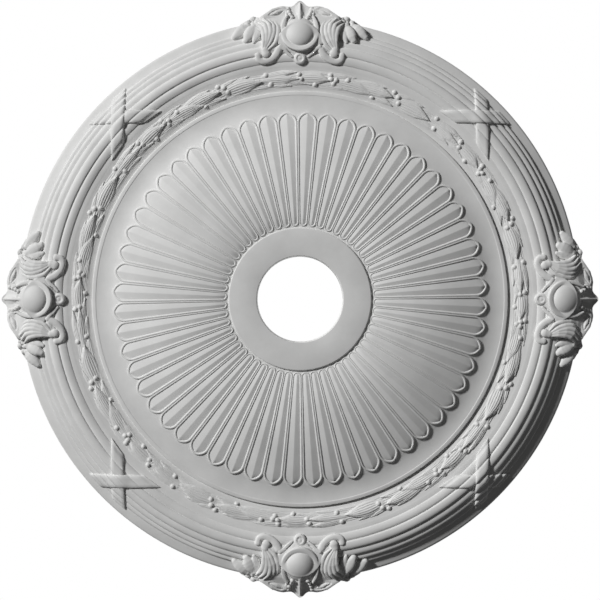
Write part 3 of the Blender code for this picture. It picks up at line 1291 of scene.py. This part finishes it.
@dataclass(frozen=True)
class Garland:
    """The laurel garland: a pattern of leaves and berries that comes back eight times round the rose.

    Attributes:
        columns: Facets round the rose.
        rows: Facets across the garland.
        mound: Mean height over the bed: distance from the inner edge, and height.
        base_depth: How far the hidden underside lies above the bed.
        design_span: Degrees that one module takes up where it is drawn.
        design_width: Width of the garland where it is drawn.
        starts: Where each module starts, in degrees.
        inner_fade: Over how far the relief rises at the inner edge.
        outer_fade: Over how far it falls at the outer edge.
        blend: How softly leaves and berries run into what they lie on.
        leaf_growth: How much wider the leaves are than drawn.
        leaf_drop: How far a leaf's edge lies under its middle.
        vein_depth: Depth of the veins.
        berry_radius: Radius of a berry.
        berry_rise: How far a berry's top stands over its foot.
        berry_seat: Height of a berry's foot.
        berry_softness: 0.5 for a ball, more for a softer foot.
        strand_spacing: Distance between two fine strands between the leaves.
        strand_height: Half their height.
        strand_sink: How far they lie under the mound.
        strand_sway: How far they swing aside.
        strand_wave: Length of that swing for each radian.
        crisp: Edges sharper than this many degrees stay sharp.
        berries: Where the berries lie in a module.
        leaves: The leaves of a module, the lower ones first.
    """

    columns: int = 2200
    rows: int = 41
    mound: tuple[Pair, ...] = (
        (0.0, -0.9),
        (0.4, 0.0),
        (1.2, 0.1),
        (5.0, 0.4),
        (8.0, 1.0),
        (10.5, 1.6),
        (13.0, 1.7),
        (16.0, 1.2),
        (19.0, 0.3),
        (21.5, -0.8),
        (23.0, -1.5),
        (23.8, -1.9),
    )
    base_depth: float = 14.0
    design_span: float = 46.0
    design_width: float = 28.4
    starts: tuple[float, ...] = (-173.8, -127.0, -81.3, -35.3, 6.4, 51.4, 96.4, 141.3)
    inner_fade: float = 2.4
    outer_fade: float = 0.9
    blend: float = 0.22
    leaf_growth: float = 1.12
    leaf_drop: float = 1.5
    vein_depth: float = 0.6
    berry_radius: float = 2.9
    berry_rise: float = 1.9
    berry_seat: float = 0.5
    berry_softness: float = 0.7
    strand_spacing: float = 2.6
    strand_height: float = 0.38
    strand_sink: float = 0.2
    strand_sway: float = 1.3
    strand_wave: float = 15.0
    crisp: float = 60.0
    berries: tuple[Pair, ...] = (
        (-0.9, 20.4),
        (0.7, 13.9),
        (0.2, 8.6),
        (-0.6, 14.5),
        (3.7, 16.9),
        (11.0, 2.6),
        (15.9, 22.6),
        (17.3, 18.0),
        (18.0, 9.8),
        (28.5, 21.0),
        (29.5, 6.8),
        (37.0, 18.6),
        (37.6, 11.5),
        (41.3, 4.4),
    )
    leaves: tuple[LaurelLeaf, ...] = (
        LaurelLeaf((-3.5, 6.0), (5.0, 3.4), 4.4, 1.0, 0.0, 1.2, 5),
        LaurelLeaf((-3.5, 20.0), (5.5, 23.0), 4.2, 0.8, 0.1, 1.2, 4),
        LaurelLeaf((21.0, 4.5), (31.0, 3.4), 4.0, 0.6, 0.0, 1.0, 4),
        LaurelLeaf((36.0, 20.5), (45.0, 21.5), 4.2, 0.8, 0.0, 1.1, 5),
        LaurelLeaf((30.0, 10.5), (40.0, 4.2), 4.2, 1.2, 0.1, 1.5, 5),
        LaurelLeaf((37.4, 12.5), (44.9, 12.3), 7.4, 1.0, 0.4, 2.0),
        LaurelLeaf((6.0, 17.5), (13.6, 23.0), 3.8, 0.6, 0.3, 1.8, 4),
        LaurelLeaf((1.2, 11.0), (10.7, 6.4), 6.4, 1.0, 0.4, 2.0),
        LaurelLeaf((10.6, 6.0), (16.8, 3.2), 3.8, 0.6, 0.2, 1.6, 4),
        LaurelLeaf((7.6, 13.5), (15.9, 14.6), 6.2, 0.5, 0.4, 2.5, 6, 0.6),
        LaurelLeaf((16.0, 20.5), (21.3, 24.6), 3.0, 0.6, 0.2, 1.6, 3),
        LaurelLeaf((19.4, 19.5), (24.3, 23.6), 3.0, 0.6, 0.2, 1.6, 4),
        LaurelLeaf((17.4, 10.5), (27.2, 12.1), 7.8, 0.8, 0.4, 2.5, 6, 0.5),
        LaurelLeaf((29.0, 6.0), (35.0, 2.4), 3.6, 0.6, 0.2, 1.5, 4),
        LaurelLeaf((27.6, 19.0), (36.8, 22.0), 4.2, 0.8, 0.3, 1.9, 5),
        LaurelLeaf((27.6, 13.0), (37.3, 12.3), 4.8, -0.8, 0.4, 2.3, 5),
    )

    def carve(self, relief: Relief, start: float, span: float) -> None:
        """Lays one module on the relief.

        Args:
            relief: The garland, with arc lengths round its middle as x and distances from the lip as y.
            start: Where the module starts, in degrees.
            span: How many degrees it takes up.
        """
        per_degree = math.radians(1) * (FACE.garland_start + FACE.garland_width / 2)

        def at(place: Pair) -> Pair:
            """Where a place of the module lies on the relief."""
            out = place[1] * FACE.garland_width / self.design_width
            return ((start + place[0] * span / self.design_span) * per_degree, out)

        for leaf in self.leaves:
            base, tip = Vector(at(leaf.base)), Vector(at(leaf.tip))
            along = tip - base
            bulge = Vector((-along.y, along.x)).normalized() * leaf.bend
            full = leaf.half_width * self.leaf_growth
            low, high = leaf.base_level, leaf.tip_level
            relief.stroke(
                [tuple(base), tuple(base + along * 0.5 + bulge), tuple(tip)],
                [full * 0.6, full * 0.92, full, full * 0.88, full * leaf.blunt, 0.4],
                [low, low * 0.4 + high * 0.6, high, high * 0.94],
                Section.LEAF,
                self.leaf_drop,
                leaf.veins,
                self.vein_depth,
            )
        top = self.berry_seat + self.berry_rise
        for berry in self.berries:
            relief.dome(at(berry), self.berry_radius, top, self.berry_rise, self.berry_softness)

    def build(self) -> bpy.types.Object:
        """Makes the whole garland as one closed ring.

        Returns:
            The piece.
        """
        middle = FACE.garland_start + FACE.garland_width / 2
        around = 2 * math.pi * middle
        spans = np.diff(np.append(self.starts, self.starts[0] + 360))
        rings = self.rows + 3

        def place(u: np.ndarray, v: np.ndarray) -> np.ndarray:
            """Rows: the inner wall's foot, the face, the outer wall's foot and the underside's seam."""
            row = np.rint(v * rings).astype(int)
            out = np.clip((row - 1) / self.rows, 0, 1) * FACE.garland_width
            out = np.where(row == rings, 0.0, out)
            top = (row >= 1) & (row <= self.rows + 1)
            turn = u * around - around / 2
            sway = self.strand_sway * np.sin(turn / self.strand_wave)
            strands = self.strand_height * np.sin(2 * math.pi * (out + sway) / self.strand_spacing)
            relief = Relief(turn, out, strands - self.strand_sink, self.blend)
            for start, span in zip(self.starts, spans):
                for lap in (-360.0, 0.0, 360.0):
                    self.carve(relief, start + lap, span)
            mound = read_off(self.mound, out)
            edge = np.clip(out / self.inner_fade, 0, 1)
            edge = edge * np.clip((FACE.garland_width - out) / self.outer_fade, 0, 1)
            depth = FACE.garland_foot + mound + relief.height * edge
            depth = np.where(top, depth, FACE.garland_foot - self.base_depth)
            angle = turn / middle
            radius = FACE.garland_start + out
            return np.stack([radius * np.cos(angle), radius * np.sin(angle), -depth], 1) * MM

        ring = shaped_grid("laurel_garland", self.columns, rings, place)
        welded(ring)
        smoothed(ring, self.crisp)
        return ring


# Crossed ribbons


@dataclass(frozen=True)
class Ribbons:
    """Two flat straps that cross over the border on each diagonal. Lengths are in millimetres.

    Attributes:
        half_width: Half the strap's width.
        thickness: How far it stands over what it lies on.
        hump: How much higher the upper strap stands where the two cross.
        hump_reach: How far along the strap that rise goes.
        stiff_end: Radius up to which the strap partly spans the mouldings instead of following them.
        stiff_share: How much it spans them, 0 to 1.
        loose_end: Radius up to which it follows them more softly.
        crossing_inset: Distance of the crossing from the rim.
        outer_gap: From its outer end to the rim.
        inner_reach: From the garland to its inner end.
        inner_narrowing: How much narrower the inner end is, as a share.
        end_lift: Height of the inner end over the fillet.
        outer_taper: 1 over the share of the length on which the outer end comes down.
        inner_taper: The same for the inner end.
        inner_thin: What is left of the thickness at the very inner end.
        thin_share: How much of the thickness doesn't change towards the ends.
        root: How deep its edges go into what it lies on.
        softness: How far it smooths out the mouldings it lies on.
        inner_softness: The same on the inner part.
        stations: Facets along it.
        section: Across the strap: place as a share of the half width, and height over its top.
        foot: Points of the section that are this low or lower are sunk in.
        crisp: Edges sharper than this many degrees stay sharp.
    """

    half_width: float = 8.05
    thickness: float = 2.7
    hump: float = 2.0
    hump_reach: float = 15.0
    stiff_end: float = 298.0
    stiff_share: float = 0.12
    loose_end: float = 290.0
    crossing_inset: float = 29.0
    outer_gap: float = 8.1
    inner_reach: float = 3.4
    inner_narrowing: float = 0.12
    end_lift: float = 2.2
    outer_taper: float = 22.0
    inner_taper: float = 9.0
    inner_thin: float = 0.3
    thin_share: float = 0.45
    root: float = 6.0
    softness: float = 0.5
    inner_softness: float = 1.1
    stations: int = 110
    section: tuple[Pair, ...] = (
        (-1.12, -3.6),
        (-1.09, -2.6),
        (-1.0, -1.6),
        (-0.9, -0.7),
        (-0.78, 0.0),
        (-0.4, 0.1),
        (0.0, 0.15),
        (0.4, 0.1),
        (0.78, 0.0),
        (0.9, -0.7),
        (1.0, -1.6),
        (1.09, -2.6),
        (1.12, -3.6),
        (-1.12, -3.6),
    )
    foot: float = -2.0
    crisp: float = 38.0

    def strap(self, name: str, slant: float, over: bool) -> bpy.types.Object:
        """Makes one strap, with its crossing on the +X axis.

        Args:
            name: Its name.
            slant: 1 or -1, the side its outer end lies on.
            over: Whether it passes over the other.

        Returns:
            The strap.
        """
        crossing = FACE.rim - self.crossing_inset
        along = Vector((1.0, slant)).normalized()
        aside = Vector((-along.y, along.x))
        rows = len(self.section) - 1

        def reach(shift: np.ndarray, radius: float) -> np.ndarray:
            """Distance along the strap at which it meets a circle."""
            x, y = crossing + aside.x * shift, aside.y * shift
            middle = x * along.x + y * along.y
            return -middle + np.sqrt(np.maximum(middle**2 - (x**2 + y**2 - radius**2), 0))

        def place(u: np.ndarray, v: np.ndarray) -> np.ndarray:
            """Columns run outwards along the strap, rows round its section."""
            shares, lifts = np.array(self.section)[np.rint(v * rows).astype(int)].T
            shift = shares * self.half_width
            inner = FACE.garland_end + self.inner_reach
            start = reach(shift, inner)
            end = reach(shift, FACE.rim - self.outer_gap)
            run = start + (end - start) * u
            shift = shift * (1 - self.inner_narrowing * np.clip(1 - u * 2, 0, 1) ** 1.3)
            x = crossing + along.x * run + aside.x * shift
            y = along.y * run + aside.y * shift
            radius = np.hypot(x, y)
            close, loose = FACE.draped(radius, self.softness), FACE.draped(radius, self.inner_softness)
            under = np.where(radius < self.loose_end, loose, close)
            low, high = FACE.fillet_depth + self.end_lift, float(FACE.depth(np.array(self.stiff_end)))
            straight = low + (high - low) * (radius - inner) / (self.stiff_end - inner)
            under = np.where(radius < self.stiff_end, under + self.stiff_share * (straight - under), under)
            bump = np.clip(1 - (run / self.hump_reach) ** 2, 0, 1) ** 1.5 * self.hump if over else 0.0
            ends = self.inner_thin + (1 - self.inner_thin) * np.clip(u * self.inner_taper, 0, 1)
            ends = ends * np.clip((1 - u) * self.outer_taper, 0, 1) ** 0.5
            share = self.thin_share + (1 - self.thin_share) * ends
            level = under + (self.thickness + bump + lifts) * share
            level = np.where(lifts <= self.foot, under - self.root, level)
            return np.stack([x, y, -level], 1) * MM

        strap = shaped_grid(name, self.stations, rows, place)
        welded(strap)
        capped(strap)
        return strap

    def build(self) -> list[bpy.types.Object]:
        """Makes the crossed pairs.

        Returns:
            One piece for each diagonal.
        """
        pair = joined([self.strap("under", -1.0, False), self.strap("over", 1.0, True)], "crossed_ribbon")
        pair.data.transform(Matrix.Rotation(math.pi / QUARTERS, 4, "Z"))
        smoothed(pair, self.crisp)
        return turned_copies(pair, QUARTERS, "crossed_ribbon")


# Cartouches


@dataclass(frozen=True)
class Cartouche:
    """A carved cartouche on the border: a round boss in a C-shaped collar, acanthus leaves and scrolls.

    Places are degrees off its axis and the radius in millimetres. Levels are depths below the ceiling.

    Attributes:
        columns: Facets across it.
        rows: Facets from its inner end outwards.
        half_angle: Half its angle, in degrees.
        inner_radius: Radius of its inner end.
        sink: How far its plain surface lies under the border's.
        blend: How softly its forms run into each other.
        silhouette: The outline against the background.
        slope: The steep outer side that the volutes and the finial lie on: radius and level.
        slope_half_angle: Half angle of that side.
        slope_edge: Where its edge starts to drop, in degrees.
        slope_edge_run: Over how many degrees it drops.
        slope_edge_drop: How far it drops.
        web: Low ground between the forms: radius and height over the border.
        web_half_angle: Half angle of the web.
        web_edge: Over how many degrees it fades.
        plate_level: Level of the flat plate beyond the border's mouldings.
        plate_tilt: How fast it rises inwards.
        plate_run: How far from the rim it rises.
        plate_half_angle: Half angle of the plate.
        boss_radius: Where the boss's middle lies.
        boss_size: Radius of the boss.
        boss_rise: How far the boss stands over its foot.
        boss_power: 0.5 for a ball, more for a softer foot.
        seat_depth: Level of the seat of the boss at its middle.
        seat_tilt: How fast the seat rises inwards.
        bed_drop: How far the bed inside the collar lies under the seat.
        collar: Radius of the collar.
        collar_width: Half its width.
        collar_rise: How far it stands over its foot.
        collar_sink: How far the feet of boss and collar lie under the seat.
        collar_arm: Line of one outer arm: run outwards from the boss's middle, and distance from the axis.
        shield_edge: Line of one edge of the shield.
        eyelet: Where the eyelet lies.
        eyelet_size: Its radius.
        hollow_size: Radius of the hollow in it.
        hollow_depth: Depth of that hollow.
        pupil_size: Radius of the bead in the hollow.
        pupil_shift: How far the bead lies outwards of the eyelet's middle.
        crisp: Edges sharper than this many degrees stay sharp.
    """

    columns: int = 280
    rows: int = 124
    half_angle: float = 15.6
    inner_radius: float = 274.5
    sink: float = 2.5
    blend: float = 0.7
    silhouette: tuple[Pair, ...] = (
        (0.0, 355.6),
        (0.25, 355.4),
        (0.6, 353.8),
        (1.2, 350.2),
        (1.7, 348.7),
        (2.4, 348.9),
        (3.3, 350.0),
        (4.3, 349.4),
        (5.2, 347.6),
        (6.5, 343.2),
        (7.6, 339.7),
        (8.3, 338.3),
        (8.8, 339.6),
        (9.4, 341.0),
        (10.0, 340.0),
        (10.5, 337.6),
        (11.2, 336.9),
        (11.9, 335.4),
        (12.8, 333.4),
        (15.6, 333.2),
    )
    slope: tuple[Pair, ...] = (
        (318.0, 26.0),
        (326.0, 26.4),
        (331.0, 24.6),
        (336.0, 21.6),
        (342.0, 17.6),
        (348.0, 13.6),
        (353.0, 11.0),
        (356.0, 10.0),
    )
    slope_half_angle: float = 9.2
    slope_edge: float = 7.6
    slope_edge_run: float = 1.6
    slope_edge_drop: float = 5.0
    web: tuple[Pair, ...] = ((294.0, 0.0), (300.0, 1.6), (312.0, 4.4), (323.0, 4.6), (334.0, 1.6))
    web_half_angle: float = 8.4
    web_edge: float = 1.2
    plate_level: float = 12.4
    plate_tilt: float = 0.35
    plate_run: float = 12.0
    plate_half_angle: float = 12.4
    boss_radius: float = 316.5
    boss_size: float = 17.2
    boss_rise: float = 7.4
    boss_power: float = 0.72
    seat_depth: float = 31.0
    seat_tilt: float = 0.28
    bed_drop: float = 1.3
    collar: float = 20.2
    collar_width: float = 2.5
    collar_rise: float = 1.3
    collar_sink: float = 0.6
    collar_arm: tuple[Pair, ...] = ((-1.0, 20.2), (5.0, 20.1), (12.0, 18.6), (19.5, 15.3))
    shield_edge: tuple[Pair, ...] = ((4.5, 299.5), (3.6, 296.0), (2.9, 291.5), (1.9, 287.0))
    eyelet: Pair = (0.0, 284.8)
    eyelet_size: float = 7.4
    hollow_size: float = 4.2
    hollow_depth: float = 2.0
    pupil_size: float = 2.7
    pupil_shift: float = 0.6
    crisp: float = 60.0

    def at(self, place: Pair, side: float = 1.0) -> Pair:
        """Finds where a place lies, with the cartouche on the +X axis.

        Args:
            place: Degrees off the axis and radius.
            side: 1 or -1, the side of the axis.

        Returns:
            x and y in millimetres.
        """
        angle = math.radians(place[0] * side)
        return (place[1] * math.cos(angle), place[1] * math.sin(angle))

    def seat(self, x: np.ndarray) -> np.ndarray:
        """Measures the tilted seat of the boss and its collar.

        Args:
            x: Distances out along the cartouche's axis.

        Returns:
            The seat's levels.
        """
        return self.seat_depth + self.seat_tilt * (self.boss_radius - x)

    def ground(self, radius: np.ndarray, off_axis: np.ndarray) -> np.ndarray:
        """Measures the surface that the ornament lies on.

        Args:
            radius: Distances from the rose's axis.
            off_axis: Degrees off the cartouche's axis, without a sign.

        Returns:
            The surface's levels.
        """
        plate = self.plate_level + self.plate_tilt * np.clip(FACE.rim - radius, 0, self.plate_run)
        on_plate = (radius > FACE.flat_start - 2) & (off_axis < self.plate_half_angle)
        under = FACE.depth(np.minimum(radius, FACE.rim - 2.0))
        web = read_off(self.web, radius) * np.clip((self.web_half_angle - off_axis) / self.web_edge, 0, 1)
        level = np.where(on_plate, np.maximum(plate, under + web), under + web - self.sink * (web < 0.3))
        edge = np.clip((off_axis - self.slope_edge) / self.slope_edge_run, 0, 1)
        slope = read_off(self.slope, radius) - self.slope_edge_drop * edge
        on_slope = (radius > self.slope[0][0]) & (off_axis < self.slope_half_angle)
        return np.where(on_slope, np.maximum(level, slope), level)

    def middle(self, relief: Relief) -> None:
        """Carves the boss, its collar, the shield under it, the eyelet and the finial.

        Args:
            relief: The cartouche's relief.
        """
        relief.stroke(
            [self.at((0, 281.0)), self.at((0, 302))],
            [3.6, 6.2, 8.2, 11.0, 15.0, 19.5, 26.5],
            [31.0, 31.4, 31.8, 32.2, 32.6, 33.0, 33.0],
            Section.PILLOW,
            drop=1.0,
        )
        for hand in (1.0, -1.0):
            edge = [self.at(place, hand) for place in self.shield_edge]
            relief.stroke(edge, [2.2, 2.1, 1.9, 1.6], [33.6, 33.2, 32.8, 32.4], drop=0.8)
        away = np.hypot(relief.x - self.boss_radius, relief.y)
        turn = np.abs(np.arctan2(relief.y, relief.x - self.boss_radius))
        on_seat = np.nonzero(away < self.collar)[0]
        relief.raise_to(on_seat, self.seat(relief.x[on_seat]) - self.bed_drop)
        width = self.collar_width * (1 + 0.35 * np.clip(-np.cos(turn), 0, 1))
        across = np.abs(away - self.collar) / width
        on_collar = np.nonzero((across < 1) & (turn > math.pi / 2))[0]
        band = self.collar_rise * (1 - across[on_collar] ** 4)
        relief.raise_to(on_collar, self.seat(relief.x[on_collar]) + band - self.collar_sink)
        top = self.collar_rise - self.collar_sink
        for hand in (1.0, -1.0):
            arm = [(self.boss_radius + run, hand * side) for run, side in self.collar_arm]
            levels = [float(self.seat(np.array(place[0]))) + top for place in arm]
            relief.stroke(arm, [2.5, 2.5, 2.3, 1.5], levels, Section.PILLOW, drop=self.collar_rise)
        across = away / self.boss_size
        on_boss = np.nonzero(across < 1)[0]
        dome = self.boss_rise * (1 - across[on_boss] ** 2) ** self.boss_power
        relief.raise_to(on_boss, self.seat(relief.x[on_boss]) - self.collar_sink + dome)
        relief.stroke(
            [self.at((0, 331.5)), self.at((0, 357))],
            [3.6, 5.0, 8.2, 10.4, 8.0, 1.2],
            [28.5, 25.6, 21.6, 17.6, 13.6, 10.4],
            Section.RIDGE,
            drop=5.6,
        )
        rib = [self.at((0, 331.5)), self.at((0, 352))]
        relief.stroke(rib, [2.0, 1.5, 0.8], [29.6, 23.4, 15.2], drop=1.4)
        eye = self.at(self.eyelet)
        relief.dome(eye, self.eyelet_size, 33.9, 3.0, 0.4)
        away = np.hypot(relief.x - eye[0], relief.y - eye[1])
        relief.height -= self.hollow_depth * np.clip(1 - away / self.hollow_size, 0, 1) ** 0.5
        relief.dome((eye[0] + self.pupil_shift, eye[1]), self.pupil_size, 33.0, 1.4, 0.5)

    def side(self, relief: Relief, hand: float) -> None:
        """Carves the scrolls, leaves, pearls and volute of one side.

        Args:
            relief: The cartouche's relief.
            hand: 1 or -1, the side.
        """

        def line(*places: Pair) -> list[Pair]:
            """Where places of this side lie."""
            return [self.at(place, hand) for place in places]

        # The C-scroll and the ball that the acanthus springs from.
        relief.stroke(
            line((4.9, 296.0), (5.6, 290.5), (6.9, 285.8), (8.6, 284.2), (9.7, 287.2), (9.8, 292.3)),
            [4.4, 4.4, 4.2, 4.0, 3.9, 3.9],
            [33.4, 33.4, 33.0, 33.0, 33.2, 33.4],
            Section.LEAF,
            drop=2.2,
        )
        relief.stroke(line((7.9, 292.8), (8.0, 297)), [5.2, 4.4], [34.8, 34.2], drop=2.6)
        # The two outer leaflets, the farther one first.
        relief.stroke(
            line((10.9, 331.0), (14.0, 321.0)),
            [3.6, 6.0, 6.6, 5.8, 3.8],
            [19.4, 21.4, 22.2, 22.4, 22.0],
            Section.LEAF,
            drop=3.0,
        )
        relief.stroke(
            line((9.6, 328.0), (11.7, 313.5)),
            [4.6, 6.4, 7.0, 6.4, 4.4],
            [23.6, 25.8, 27.2, 28.0, 27.8],
            Section.LEAF,
            drop=3.6,
        )
        # A low lobe that fills the corner beside the acanthus, then small curled ones above it.
        relief.stroke(
            line((8.9, 333.0), (9.4, 318.0), (10.2, 309.0)),
            [3.0, 4.4, 5.2, 4.6, 2.4],
            [20.6, 23.6, 26.0, 27.6, 28.2],
            Section.LEAF,
            drop=2.6,
        )
        for place, size, level in (
            ((9.5, 338.2), 3.8, 17.4),
            ((10.7, 335.2), 3.6, 17.2),
            ((8.5, 335.2), 3.2, 19.6),
            ((9.7, 332.0), 3.2, 19.4),
        ):
            relief.dome(self.at(place, hand), size, level, 3.0)
        # The acanthus: its body, then the ribs that fan out from the ball.
        relief.stroke(
            line((8.0, 296), (6.9, 305), (6.3, 317), (6.7, 330)),
            [3.2, 6.6, 10.2, 9.6, 6.4],
            [32.6, 32.2, 30.6, 28.0, 23.6],
            Section.LEAF,
            drop=3.4,
        )
        for rib in (
            ((7.3, 297), (5.6, 304), (4.8, 314), (4.7, 323), (5.2, 331.5)),
            ((7.6, 299), (6.3, 308), (5.6, 318), (5.6, 326), (6.3, 333)),
            ((7.9, 300), (6.9, 309), (6.3, 319), (6.5, 328), (7.4, 335.5)),
            ((8.1, 300), (7.4, 309), (7.1, 319), (7.4, 327.5), (8.4, 334)),
            ((8.4, 300), (8.0, 308), (7.8, 316), (8.1, 324), (9.0, 331)),
        ):
            levels = [33.2, 33.8, 32.6, 29.8, 24.4]
            relief.stroke(line(*rib), [1.4, 2.5, 3.3, 2.9, 1.0], levels, drop=2.4)
        # The volute: a smooth bulge with a low rim along the outline and an almond-shaped eye.
        bulge = line((3.6, 341.0), (7.2, 336.0))
        relief.stroke(bulge, [7.6, 9.0, 6.0], [19.8, 21.8, 22.6], Section.LEAF, drop=2.6)
        relief.stroke(
            line((2.7, 339.0), (2.8, 345.0), (3.9, 347.6), (5.6, 344.8), (7.0, 340.4), (7.6, 337.4)),
            [1.5, 1.5, 1.5, 1.4, 1.3, 1.1],
            [21.6, 18.0, 15.6, 17.2, 20.2, 21.8],
            drop=1.0,
        )
        almond = line((3.0, 344.6), (4.4, 344.9), (6.2, 339.4), (4.5, 338.3), (3.0, 344.6))
        relief.groove(almond, 1.1, 0.9)
        relief.stroke(line((3.9, 343.2), (5.3, 340.0)), [0.7, 2.2, 0.7], [20.2, 21.6, 22.2], drop=1.0)
        # The pearls beside the finial.
        for place, level in (
            ((2.35, 345.4), 18.6),
            ((2.2, 341.4), 21.6),
            ((1.95, 337.6), 24.6),
            ((1.6, 334.0), 27.4),
        ):
            relief.dome(self.at(place, hand), 2.4, level, 2.0)

    def build(self) -> list[bpy.types.Object]:
        """Makes the four cartouches.

        Returns:
            The pieces.
        """

        def place(u: np.ndarray, v: np.ndarray) -> np.ndarray:
            """Columns run across the cartouche, rows from its inner end to the outline."""
            off_axis = (2 * u - 1) * self.half_angle
            outer = read_off(self.silhouette, np.abs(off_axis))
            radius = self.inner_radius + (outer - self.inner_radius) * v
            angle = np.radians(off_axis)
            x, y = radius * np.cos(angle), radius * np.sin(angle)
            relief = Relief(x, y, self.ground(radius, np.abs(off_axis)), self.blend)
            for hand in (1.0, -1.0):
                self.side(relief, hand)
            self.middle(relief)
            return np.stack([x, y, -relief.height], 1) * MM

        made = shaped_grid("cartouche", self.columns, self.rows, place)
        backed(made, 0.1)
        smoothed(made, self.crisp)
        return turned_copies(made, QUARTERS, "cartouche")


def main() -> None:
    """Builds the rose and its studio."""
    logging.basicConfig(level=logging.INFO, format="%(message)s")
    Studio().set_up()
    finish = PrimedUrethane().made()
    dressed(Body().build(), finish)
    dressed(Petals().build(), finish)
    dressed(Garland().build(), finish)
    for piece in Ribbons().build() + Cartouche().build():
        dressed(piece, finish)


if __name__ == "__main__":
    main()
